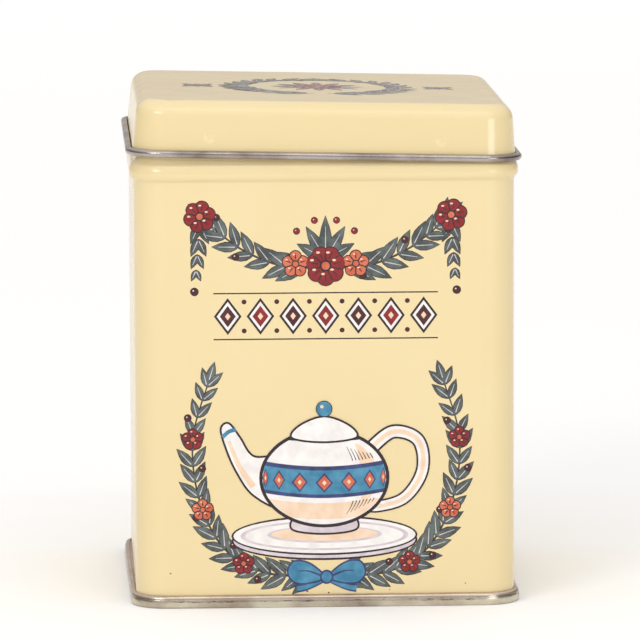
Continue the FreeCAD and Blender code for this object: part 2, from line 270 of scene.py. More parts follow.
class Ink(Enum):
    """The printing inks under the gloss, with two tones each, because each is laid a little unevenly."""

    LEAF = ("#3f4645", "#616c69")
    STEM = ("#4a4440", "#3c3232")
    RED = ("#7d1014", "#921d20")
    BERRY = ("#3c0f15", "#50181c")
    ORANGE = ("#c55b3b", "#d37252")
    BLUE = ("#317598", "#4f92b1")
    NAVY = ("#272f5c", "#3c497e")
    WHITE = ("#f2eeea", "#e6e0de")
    BLUSH = ("#f0d7be", "#e9c7a6")
    LILAC = ("#c9bcc4", "#ddd2d4")
    PLUM = ("#1f0b14", "#2c1722")

    def finish(self) -> Lacquer:
        """This ink as a lacquer."""
        return Lacquer(f"{self.name.lower()}_printing_ink", *self.value, drift_size=2.2)


# ---- pieces


def make_object(name: str, bm: BMesh, finishes: Sequence[Material]) -> Object:
    """Puts a shape into the scene.

    Args:
        name: The object's name.
        bm: Its shape, which is used up.
        finishes: Its materials, in the order of its faces' material numbers.

    Returns:
        The object.
    """
    mesh = bpy.data.meshes.new(name)
    bm.to_mesh(mesh)
    bm.free()
    for finish in finishes:
        mesh.materials.append(finish)
    item = bpy.data.objects.new(name, mesh)
    bpy.context.scene.collection.objects.link(item)
    return item


def add_piece(name: str, bm: BMesh, finishes: Sequence[Material], stands_for: Iterable[str] = (),
              crease: float = 40.0) -> Object:
    """Turns a bmesh in millimetres into a piece in metres that rides on the tin.

    Args:
        name: The piece's name.
        bm: Its shape, which is used up.
        finishes: Its materials, in the order of its faces' material numbers.
        stands_for: The CAD nodes that it replaces.
        crease: The angle in degrees past which an edge stays sharp.

    Returns:
        The finished object.
    """
    bmesh.ops.scale(bm, vec=(MM, MM, MM), verts=bm.verts)
    for face in bm.faces:
        face.smooth = True
    piece = make_object(name, bm, finishes)
    piece.data.set_sharp_from_angle(angle=math.radians(crease))
    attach(piece, "root")
    if stands_for:
        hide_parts(*stands_for)
    LOG.info("%s: %d faces", name, len(piece.data.polygons))
    return piece


def keep_flats(piece: Object) -> None:
    """Keeps broad flats flat to the eye where they run into small roundings."""
    piece.modifiers.new("flats", "WEIGHTED_NORMAL").keep_sharp = True


@dataclass(frozen=True)
class Footprint:
    """The tin's rounded square, seen from above."""

    half: float = 38.0
    corner: float = 6.5
    corner_steps: int = 18
    row_gap: float = 7.0

    @property
    def flat(self) -> float:
        """How far each side runs straight from its middle."""
        return self.half - self.corner

    @property
    def rows(self) -> list[float]:
        """The places of the mesh's rows along a plain side."""
        return spaced(-self.flat, self.flat, self.row_gap)

    def outset(self, point: Vector) -> float:
        """How far a point lies outside the wall's face, seen from above."""
        x, y = abs(point.x) - self.flat, abs(point.y) - self.flat
        return math.hypot(max(x, 0.0), max(y, 0.0)) + min(max(x, y), 0.0) - self.corner


TIN = Footprint()


class Section:
    """A line drawn through the sheet's section, which is then carried round the tin.

    Across is measured outwards from the wall's face, and up from the foot.
    """

    def __init__(self, across: float, up: float) -> None:
        """Starts the line at a point."""
        self.bm = bmesh.new()
        self.tip = self.bm.verts.new(self.place(across, up))

    @staticmethod
    def place(across: float, up: float) -> Vector:
        """A point of the section where it stands, at the left end of the front."""
        return Vector((-TIN.flat, -TIN.half - across, up))

    def line(self, across: float, up: float, steps: int = 1) -> None:
        """Draws straight on.

        Args:
            across: Where it ends, outwards from the wall's face.
            up: Where it ends, above the foot.
            steps: How many equal lengths it has.
        """
        stride = (self.place(across, up) - self.tip.co) / steps
        for _ in range(steps):
            self.tip = bmesh.ops.extrude_vert_indiv(self.bm, verts=[self.tip])["verts"][0]
            self.tip.co += stride

    def arc(self, across: float, up: float, turn: float, steps: int) -> None:
        """Draws on round a centre.

        Args:
            across: The centre, outwards from the wall's face.
            up: The centre, above the foot.
            turn: The angle in degrees, positive from outwards to up.
            steps: How many lengths it has.
        """
        made = bmesh.ops.spin(self.bm, geom=[self.tip], cent=self.place(across, up), axis=(-1.0, 0.0, 0.0),
                              angle=math.radians(turn), steps=steps, use_duplicate=False)
        self.tip = next(item for item in made["geom_last"] if isinstance(item, BMVert))

    def close(self) -> None:
        """Joins the line's end to its start."""
        self.bm.verts.ensure_lookup_table()
        self.bm.edges.new((self.tip, self.bm.verts[0]))

    def sweep(self, *sides: Sequence[float]) -> BMesh:
        """Carries the section once round the tin.

        Args:
            sides: For the front, right, back and left side in turn, the places along it, from its
                start, where the mesh has a row of points. The last one given serves the rest.

        Returns:
            The swept shape, with its open ends filled and its faces pointing outwards.
        """
        bm, edges = self.bm, list(self.bm.edges)
        for quarter in range(4):
            turn = Matrix.Rotation(quarter * math.pi / 2, 3, "Z")
            at = -TIN.flat
            for stop in (*sides[min(quarter, len(sides) - 1)], TIN.flat):
                made = set(bmesh.ops.extrude_edge_only(bm, edges=edges)["geom"])
                verts = [item for item in made if isinstance(item, BMVert)]
                edges = [item for item in made if isinstance(item, BMEdge)
                         and all(vert in made for vert in item.verts)]
                bmesh.ops.translate(bm, verts=verts, vec=turn @ Vector((stop - at, 0.0, 0.0)))
                at = stop
            verts = list({vert for edge in edges for vert in edge.verts})
            made = bmesh.ops.spin(bm, geom=verts + edges, cent=turn @ Vector((TIN.flat, -TIN.flat, 0.0)),
                                  axis=(0.0, 0.0, 1.0), angle=math.pi / 2, steps=TIN.corner_steps,
                                  use_duplicate=False)
            edges = [item for item in made["geom_last"] if isinstance(item, BMEdge)]
        bmesh.ops.remove_doubles(bm, verts=bm.verts, dist=WELD)
        bmesh.ops.holes_fill(bm, edges=[edge for edge in bm.edges if edge.is_boundary])
        bmesh.ops.recalc_face_normals(bm, faces=bm.faces)
        return bm


def spaced(start: float, end: float, gap: float) -> list[float]:
    """Evenly spaced places strictly between two ends, about gap apart."""
    count = max(1, round(abs(end - start) / gap))
    return [start + (end - start) * step / count for step in range(1, count)]


# ---- body


@dataclass
class BodyShell:
    """The printed tube of the body: its wall, the bead round its top, the neck and the lock seam."""

    foot: float = 2.2
    bead_level: float = 87.0
    bead_reach: float = 0.84
    # The bead's half height, and the radius of the hollow that it ends in, below and above its middle.
    lower_half: float = 1.55
    lower_blend: float = 0.6
    upper_half: float = 2.1
    upper_blend: float = 2.3
    neck_step: float = 0.2
    neck_lean: float = 5.0
    neck_top: float = 99.0
    neck_round: float = 1.0
    lock_offset: float = 24.0
    lock_width: float = 4.6
    lock_rise: float = 0.2
    lock_margin: float = 0.3
    lock_groove: float = 0.3
    lock_groove_depth: float = 0.24
    # How wide the strip's steep edge is, and where its soft edge begins and ends.
    lock_cliff: float = 0.01
    lock_slope: Point = (-0.1, 0.05)
    lock_fade: float = 1.4
    lock_clearance: float = 1.5
    back_gap: float = 8.0

    @property
    def lock_edges(self) -> Point:
        """Where the lock seam's strip begins and ends across the back."""
        return self.lock_offset - self.lock_width / 2, self.lock_offset + self.lock_width / 2

    def bulge(self, half: float) -> float:
        """The radius of the bead's arc over a half height."""
        return (half ** 2 + self.bead_reach ** 2) / (2 * self.bead_reach)

    def section(self) -> Section:
        """Draws the sheet from the foot, over the bead and up the neck.

        Returns:
            The open line.
        """
        low_middle, high_middle = (self.bead_reach - self.bulge(half)
                                   for half in (self.lower_half, self.upper_half))
        # The hollow below the bead touches the wall and the bead's lower arc.
        joined = self.bulge(self.lower_half) + self.lower_blend
        below = -math.acos((self.lower_blend - low_middle) / joined)
        start = self.bead_level + joined * math.sin(below)
        # The hollow above it touches the upper arc and the leaning neck.
        joined = self.bulge(self.upper_half) + self.upper_blend
        lean = math.radians(self.neck_lean)
        out, rise = math.cos(lean), math.sin(lean)
        shift = Vector((-self.neck_step - high_middle + self.upper_blend * out,
                        self.upper_blend * rise))
        along = Vector((-rise, out))
        travel = math.sqrt(joined ** 2 - shift.cross(along) ** 2) - shift.dot(along)
        above = shift + along * travel
        crest = math.atan2(above.y, above.x)
        line = Section(0.0, self.foot)
        line.line(0.0, start - self.lock_fade, 12)
        line.line(0.0, start, 2)
        line.arc(self.lower_blend, start, math.degrees(below), 8)
        line.arc(low_middle, self.bead_level, math.degrees(-below), 12)
        line.arc(high_middle, self.bead_level, math.degrees(crest), 12)
        line.arc(high_middle + above.x, self.bead_level + above.y, math.degrees(lean - crest), 8)
        shoulder = self.neck_top - self.neck_round
        face = -self.neck_step - (shoulder - self.bead_level) * math.tan(lean)
        centre = face - self.neck_round / out
        line.line(centre + self.neck_round * out, shoulder + self.neck_round * rise, 4)
        line.arc(centre, shoulder, 90 - self.neck_lean, 6)
        return line

    def press_lock_seam(self, bm: BMesh) -> None:
        """Raises the lock seam's strip on the back, with the groove beside it, and fades both at the bead.

        Args:
            bm: The body's shape.
        """
        inner, outer = self.lock_edges
        top = self.bead_level - self.lower_half - self.lower_blend
        for vert in bm.verts:
            if vert.co.y < TIN.half - self.lock_cliff or vert.co.z > top or vert.co.x > outer:
                continue
            fade = min(1.0, (top - vert.co.z) / self.lock_fade)
            if vert.co.x > inner - 2 * self.lock_cliff:
                vert.co.y += self.lock_rise * fade
            elif vert.co.x > inner - self.lock_groove:
                vert.co.y -= self.lock_groove_depth * fade

    def build(self) -> None:
        """Makes the body's piece."""
        inner, outer = self.lock_edges
        seam = [inner - self.lock_groove - 2 * self.lock_cliff, inner - self.lock_groove / 2,
                inner - self.lock_cliff, inner + self.lock_margin, outer - self.lock_margin,
                *(outer + place for place in self.lock_slope)]
        back = [-place for place in reversed(seam)]
        back += spaced(self.lock_clearance - inner, TIN.flat, self.back_gap)
        bm = self.section().sweep(TIN.rows, TIN.rows, back, TIN.rows)
        self.press_lock_seam(bm)
        keep_flats(add_piece("body_shell", bm, [CREAM.build()], ["body"], crease=32.0))


# ---- lid


@dataclass
class Lid:
    """The drawn lid: flat top, rounded edge, tapered skirt and a bare curl, set a little askew."""

    rise: float = 10.5
    gauge: float = 0.27
    lean: float = 5.0
    edge_round: float = 3.2
    skirt_foot: float = 0.27
    curl_radius: float = 0.775
    curl_gap: float = 0.14
    rim_level: float = 89.675
    tilt: float = 1.25
    dimple_spacing: float = 46.0
    dimple_level: float = 3.3
    dimple_radius: float = 1.1
    dimple_depth: float = 0.2
    dimple_margin: float = 0.3
    dimple_gap: float = 0.2
    wide_gap: float = 6.0

    def seat(self) -> Matrix:
        """Where the lid sits: down on the right and a little high on the left."""
        tilt = math.radians(self.tilt)
        lift = self.rim_level + TIN.half * math.sin(tilt)
        return Matrix.Translation((0.0, 0.0, lift)) @ Matrix.Rotation(tilt, 4, "Y")

    def section(self) -> Section:
        """Draws the sheet's outline, from the top, round the curl and back under the ceiling.

        Returns:
            The open line, whose two ends lie at the top's edge.
        """
        lean = math.radians(self.lean)
        centre_up = self.rise - self.edge_round
        centre = self.skirt_foot - centre_up * math.tan(lean) - self.edge_round / math.cos(lean)
        curl_middle = self.skirt_foot - self.gauge + self.curl_radius
        inner_round = self.edge_round - self.gauge
        free = math.degrees(math.acos(-(self.curl_radius - self.gauge - self.curl_gap) / self.curl_radius))
        swing = 180 + free
        line = Section(centre, self.rise)
        line.arc(centre, centre_up, self.lean - 90, 14)
        line.line(self.skirt_foot, 0.0, 42)
        line.arc(curl_middle, 0.0, swing, 30)
        tip = math.radians(free)
        line.line(curl_middle + self.curl_radius * math.cos(tip), self.curl_radius * math.sin(tip))
        line.arc(curl_middle, 0.0, -swing, 40)
        line.line(centre + inner_round * math.cos(lean), centre_up + inner_round * math.sin(lean), 42)
        line.arc(centre, centre_up, 90 - self.lean, 8)
        return line

    def press_dimples(self, bm: BMesh) -> None:
        """Presses the four grip dimples into the front and the back of the skirt.

        Args:
            bm: The lid's shape before it is seated.
        """
        ball = (self.dimple_radius ** 2 + self.dimple_depth ** 2) / (2 * self.dimple_depth)
        for vert in bm.verts:
            off = math.hypot(abs(vert.co.x) - self.dimple_spacing / 2, vert.co.z - self.dimple_level)
            if off < self.dimple_radius and abs(vert.co.y) > TIN.flat:
                press = math.sqrt(ball ** 2 - off ** 2) - ball + self.dimple_depth
                vert.co.y -= math.copysign(press, vert.co.y)

    def is_bare(self, face: BMFace) -> bool:
        """Tells unprinted metal, which is the curl's outside and the sheet's inner side.

        Args:
            face: A face of the lid's shape before it is seated.

        Returns:
            Whether it is bare.
        """
        middle = face.calc_center_median()
        across, up = TIN.outset(middle), middle.z
        if up < self.curl_radius and across > -0.1:
            return math.hypot(across - self.curl_radius, up) > self.curl_radius - self.gauge / 2
        if up > self.rise - self.edge_round:
            return face.normal.z < -0.1
        return across + up * math.tan(math.radians(self.lean)) < self.gauge / 2

    def build(self) -> None:
        """Makes the lid's piece."""
        half, near = self.dimple_spacing / 2, self.dimple_radius + self.dimple_margin
        fine = [half + offset for offset in (-near, *spaced(-near, near, self.dimple_gap), near)]
        ends = [-place for place in reversed(fine)] + spaced(near - half, half - near, self.wide_gap) + fine
        bm = self.section().sweep(ends, TIN.rows, ends, TIN.rows)
        for face in bm.faces:
            face.material_index = int(self.is_bare(face))
        self.press_dimples(bm)
        bmesh.ops.transform(bm, matrix=self.seat(), verts=bm.verts)
        finishes = [CREAM.build(), CURL_METAL.build()]
        keep_flats(add_piece("lid_shell", bm, finishes, ["lid"]))


# ---- base


@dataclass
class Base:
    """The base of bare tinplate: the seam that grips the wall's foot, and the recessed panel."""

    seam_height: float = 2.55
    seam_reach: float = 1.1
    seam_inside: float = 0.65
    top_round: float = 0.75
    foot_round: float = 0.4
    belly: float = 0.12
    hem: float = 0.25
    recess: float = 1.9
    gauge: float = 0.27
    panel_margin: float = 7.0
    panel_step: float = 0.5
    lap: float = 0.02
    spring: float = 0.42
    spring_lean: float = 2.2
    spring_fullness: float = 0.7

    def section(self) -> Section:
        """Draws the seam's outline, with the soft belly of a rolled fold on its outer face.

        Returns:
            The closed line.
        """
        face = self.seam_reach - self.belly
        low, high = self.foot_round, self.seam_height - self.top_round
        half = (high - low) / 2
        ball = (half ** 2 + self.belly ** 2) / (2 * self.belly)
        sweep = math.degrees(math.asin(half / ball))
        line = Section(-self.lap, self.seam_height - self.hem)
        line.line(self.lap, self.seam_height - self.hem)
        line.arc(self.lap + self.hem, self.seam_height - self.hem, -90, 4)
        line.line(face - self.top_round, self.seam_height, 2)
        line.arc(face - self.top_round, high, -90, 8)
        line.arc(self.seam_reach - ball, low + half, -2 * sweep, 10)
        line.arc(face - self.foot_round, low, -90, 6)
        line.line(-self.seam_inside + self.foot_round, 0.0, 2)
        line.arc(-self.seam_inside + self.foot_round, low, -90, 6)
        line.line(-self.seam_inside, self.recess + self.gauge, 2)
        line.line(-self.lap, self.recess + self.gauge)
        line.close()
        return line

    def spring_open(self, bm: BMesh) -> None:
        """Bends the seam's left side off the wall, most of all towards the back, as it has sprung there.

        Args:
            bm: The seam's shape.
        """
        for vert in bm.verts:
            share = (vert.co.y + TIN.half) / (2 * TIN.half)
            if vert.co.x < -TIN.flat and 0 < share < 1:
                near = min(1.0, (-TIN.flat - vert.co.x) / TIN.corner)
                bow = math.sin(math.pi * share ** self.spring_lean) ** self.spring_fullness
                vert.co.x -= self.spring * near * bow

    def build_panel(self) -> BMesh:
        """Presses the panel: a rounded square with a step downwards inside its margin.

        Returns:
            The panel's shape.
        """
        bm = bmesh.new()
        half = TIN.half - self.seam_inside + self.lap
        bmesh.ops.create_grid(bm, x_segments=1, y_segments=1, size=half,
                              matrix=Matrix.Translation((0.0, 0.0, self.recess)))
        bmesh.ops.bevel(bm, geom=list(bm.verts), offset=TIN.corner - self.seam_inside, offset_type="OFFSET",
                        segments=TIN.corner_steps, profile=0.5, affect="VERTICES", material=-1)
        plate = list(bm.faces)
        bmesh.ops.inset_region(bm, faces=plate, thickness=self.panel_margin, use_even_offset=True)
        bmesh.ops.inset_region(bm, faces=plate, thickness=self.panel_step, depth=-self.panel_step,
                               use_even_offset=True)
        bmesh.ops.recalc_face_normals(bm, faces=bm.faces)
        bmesh.ops.solidify(bm, geom=list(bm.faces), thickness=self.gauge)
        bmesh.ops.recalc_face_normals(bm, faces=bm.faces)
        return bm

    def build(self) -> None:
        """Makes the seam's and the panel's pieces."""
        metal = SEAM_METAL.build()
        seam = self.section().sweep(TIN.rows)
        self.spring_open(seam)
        keep_flats(add_piece("base_seam", seam, [metal], ["base"]))
        add_piece("base_panel", self.build_panel(), [metal], ["base"])


# ---- print


def smooth_path(points: Sequence[Point], closed: bool = False) -> Callable[[float], Vector]:
    """A smooth line through points.

    Args:
        points: The points that it passes, in order.
        closed: Whether it comes back to the first one.

    Returns:
        A function from a share of the way, from 0 to 1, to the place there.
    """
    knots = [Vector(point) for point in points]
    last = len(knots) - (not closed)

    def knot(number: int) -> Vector:
        """A knot by its number, which goes round a closed line and stops at an open one's ends."""
        return knots[number % len(knots)] if closed else knots[min(max(number, 0), last)]

    def place(share: float) -> Vector:
        """Finds a place on the line.

        Args:
            share: The share of the way.

        Returns:
            The place.
        """
        share = share % 1.0 if closed else min(max(share, 0.0), 1.0)
        number, part = divmod(share * last, 1.0)
        before, start, end, after = (knot(int(number) + step) for step in (-1, 0, 1, 2))
        slope = (end - before) * part
        square = (2 * before - 5 * start + 4 * end - after) * part ** 2
        cube = (3 * start - before - 3 * end + after) * part ** 3
        return start + 0.5 * (slope + square + cube)

    return place


def heading(path: Callable[[float], Vector], share: float) -> Vector:
    """The direction of a path at a share of the way."""
    return (path(share + 0.01) - path(share - 0.01)).normalized()


def ray(angle: float) -> Vector:
    """The unit direction at an angle in radians."""
    return Vector((math.cos(angle), math.sin(angle)))


def spoke(centre: Vector, out: Vector, near: float, far: float) -> list[Point]:
    """The ends of a straight line from a centre outwards, as shares of out."""
    return [tuple(centre + out * share) for share in (near, far)]


@dataclass
class PrintedFace:
    """The print on one flat face: a thin closed film for each ink, in layers that lie on each other."""

    name: str
    sink: float
    layer_rise: float = 0.005
    film: float = 0.003
    lap: float = 0.0003
    films: dict[Ink, BMesh] = field(default_factory=dict)
    chance: random.Random = field(default_factory=lambda: random.Random(7))
    laid: int = 0

    @property
    def seat(self) -> Matrix:
        """Carries a point across, up and outwards to the face, sunk a hair into it."""
        raise NotImplementedError

    def plate(self, ink: Ink) -> BMesh:
        """The ink's own mesh."""
        if ink not in self.films:
            self.films[ink] = bmesh.new()
        return self.films[ink]

    def level(self, layer: int) -> float:
        """The height of the next shape in a layer, a hair off the shapes that it may overlap."""
        self.laid += 1
        return layer * self.layer_rise + self.laid % 7 * self.lap

    def patch(self, ink: Ink, layer: int, place: Callable[[Vector], Vector], steps: int) -> None:
        """Lays a filled shape.

        Args:
            ink: Its ink.
            layer: Its layer.
            place: Carries each point of a unit circle to the shape's rim.
            steps: How many points the rim has.
        """
        made = bmesh.ops.create_circle(self.plate(ink), cap_ends=True, segments=steps, radius=1.0)
        level = self.level(layer)
        for vert in made["verts"]:
            vert.co = (*place(vert.co.xy), level)

    def strip(self, ink: Ink, layer: int, place: Callable[[float, float], Vector], steps: int = 32) -> None:
        """Lays a strip, and joins its ends where they meet.

        Args:
            ink: Its ink.
            layer: Its layer.
            place: The place at a share of its length and from -1 to 1 across it.
            steps: How many lengths it has.
        """
        made = bmesh.ops.create_grid(self.plate(ink), x_segments=steps, y_segments=1, size=1.0)
        level = self.level(layer)
        for vert in made["verts"]:
            vert.co = (*place((vert.co.x + 1) / 2, vert.co.y), level)
        bmesh.ops.remove_doubles(self.plate(ink), verts=made["verts"], dist=WELD)

    def oval(self, ink: Ink, layer: int, centre: Vector, wide: float, tall: float, steps: int = 20) -> None:
        """Lays an ellipse of a half width and half height; four steps give a lozenge."""
        self.patch(ink, layer, lambda rim: centre + Vector((rim.x * wide, rim.y * tall)), steps)

    def spot(self, ink: Ink, layer: int, centre: Vector, radius: float, steps: int = 20) -> None:
        """Lays a round spot."""
        self.oval(ink, layer, centre, radius, radius, steps)

    def stroke(self, ink: Ink, layer: int, points: Sequence[Point], width: float, ends: Point = (1.0, 1.0),
               closed: bool = False) -> None:
        """Lays a drawn line.

        Args:
            ink: Its ink.
            layer: Its layer.
            points: The points that it passes.
            width: Its width.
            ends: The share of that width at its start and end.
            closed: Whether it comes back to its start.
        """
        path = smooth_path(points, closed)

        def place(share: float, side: float) -> Vector:
            """A point of the line, side to side."""
            ahead = heading(path, share)
            half = width / 2 * (ends[0] + (ends[1] - ends[0]) * share)
            return path(share) + Vector((-ahead.y, ahead.x)) * side * half

        self.strip(ink, layer, place, 8 * len(points))

    def blob(self, ink: Ink, layer: int, points: Sequence[Point], edge: Ink, width: float = 0.4) -> None:
        """Lays a smooth filled shape, with a drawn edge in the layer above.

        Args:
            ink: Its ink.
            layer: Its layer.
            points: The points round it.
            edge: The edge's ink.
            width: The edge's width.
        """
        path = smooth_path(points, True)
        self.patch(ink, layer, lambda rim: path(math.atan2(rim.y, rim.x) / math.tau), 8 * len(points))
        self.stroke(edge, layer + 1, points, width, closed=True)

    def leaf(self, ink: Ink, layer: int, root: Vector, aim: float, length: float, width: float,
             grow: float = 0.0) -> None:
        """Lays a pointed leaf.

        Args:
            ink: Its ink.
            layer: Its layer.
            root: Where it starts.
            aim: The angle in radians that it points to.
            length: Its length.
            width: Its greatest width.
            grow: How far it is spread all round, as the edge under another leaf.
        """
        along, start = ray(aim), root - ray(aim) * grow
        across = Vector((-along.y, along.x))

        def place(rim: Vector) -> Vector:
            """A point of the leaf's rim."""
            share = (1 + rim.x) / 2
            half = math.sin(math.pi * share ** 0.8) * (width / 2 + grow)
            return start + along * share * (length + 2 * grow) + across * math.copysign(half, rim.y)

        self.patch(ink, layer, place, 14)

    def edged_leaf(self, layer: int, root: Vector, aim: float, length: float, width: float) -> None:
        """Lays a leaf with a dark edge and a pale rib.

        Args:
            layer: The lowest of its three layers.
            root: Where it starts.
            aim: The angle in radians that it points to.
            length: Its length.
            width: Its greatest width.
        """
        self.leaf(Ink.PLUM, layer, root, aim, length, width, 0.15)
        self.leaf(Ink.LEAF, layer + 1, root, aim, length, width)
        self.stroke(Ink.LILAC, layer + 2, spoke(root, ray(aim) * length, 0.12, 0.75), 0.2, (1.0, 0.4))

    def berry(self, layer: int, centre: Vector, radius: float, ink: Ink = Ink.BERRY) -> None:
        """Lays a round berry with a dark edge and a glint.

        Args:
            layer: The lowest of its three layers.
            centre: Its middle.
            radius: Its size, without the edge.
            ink: Its ink.
        """
        self.spot(Ink.PLUM, layer, centre, radius + 0.16, 16)
        self.spot(ink, layer + 1, centre, radius, 16)
        self.spot(Ink.BLUSH, layer + 2, centre + Vector((-0.3, 0.3)) * radius, radius * 0.24, 8)

    def rosette(self, layer: int, centre: Vector, radius: float, petals: int, ink: Ink = Ink.RED) -> None:
        """Lays a round flower: petals with a dark edge, fine lines on and between them, and an eye.

        Args:
            layer: The lowest of its five layers.
            centre: Its middle.
            radius: Its size.
            petals: How many petals it has.
            ink: Their ink.
        """
        for number in range(petals):
            out, between = (ray(math.tau * (number + turn) / petals) * radius for turn in (0.25, 0.75))
            middle = centre + out * 0.58
            self.spot(Ink.PLUM, layer, middle, radius * 0.42 + 0.2)
            self.spot(ink, layer + 1, middle, radius * 0.42)
            self.stroke(Ink.PLUM, layer + 2, spoke(centre, between, 0.2, 0.8), 0.24)
            self.stroke(Ink.BERRY, layer + 2, spoke(centre, out, 0.4, 0.82), 0.3, (1.0, 0.3))
            glint = middle + Vector((-0.13, 0.16)) * radius
            self.oval(Ink.BLUSH, layer + 3, glint, radius * 0.1, radius * 0.06, 10)
        self.spot(Ink.PLUM, layer + 3, centre, radius * 0.3, 16)
        self.spot(Ink.ORANGE, layer + 4, centre, radius * 0.21, 16)

    def branch(self, layer: int, points: Sequence[Point], leaf: float, gap: float, berries: int = 3) -> None:
        """Lays a laurel branch: a twig, leaves in pairs that grow smaller to its tip, and berries.

        Args:
            layer: The lowest layer that it lies in.
            points: The points that its twig passes.
            leaf: The length of its leaves.
            gap: How far apart the pairs stand.
            berries: Every how many pairs a berry stands.
        """
        path = smooth_path(points)
        stops = [path(step / 60) for step in range(61)]
        count = round(sum((after - before).length for before, after in zip(stops, stops[1:])) / gap)
        self.stroke(Ink.STEM, layer, points, 0.55, (1.0, 0.5))
        for number in range(count):
            share = (number + 0.5) / count
            aim = math.atan2(*reversed(heading(path, share)))
            for side in (-1, 1):
                size = leaf * (1.08 - 0.3 * share) * self.chance.uniform(0.92, 1.08)
                turn = aim + side * math.radians(self.chance.uniform(28, 40))
                self.edged_leaf(layer + 1, path(share), turn, size, size * 0.37)
            if number % berries == 1:
                side = 1 if number // berries % 2 else -1
                self.berry(layer + 4, path(share) + ray(aim + side * 1.9) * leaf * 0.36, 0.62)
        aim = math.atan2(*reversed(heading(path, 0.99)))
        self.edged_leaf(layer + 1, path(1.0), aim, leaf * 0.8, leaf * 0.3)

    def press(self) -> None:
        """Gives each film its thickness and makes a piece of each ink."""
        for ink, bm in self.films.items():
            made = bmesh.ops.extrude_face_region(bm, geom=list(bm.faces), use_keep_orig=True)["geom"]
            raised = [item for item in made if isinstance(item, BMVert)]
            bmesh.ops.translate(bm, verts=raised, vec=(0.0, 0.0, self.film))
            bmesh.ops.recalc_face_normals(bm, faces=bm.faces)
            bmesh.ops.transform(bm, matrix=self.seat, verts=bm.verts)
            add_piece(f"{self.name}_{ink.name.lower()}", bm, [ink.finish().build()])


def mirrored(points: Sequence[Point], side: int) -> list[Point]:
    """Points of the right half, or turned over to the left one for a side of -1."""
    return [(x * side, up) for x, up in points]


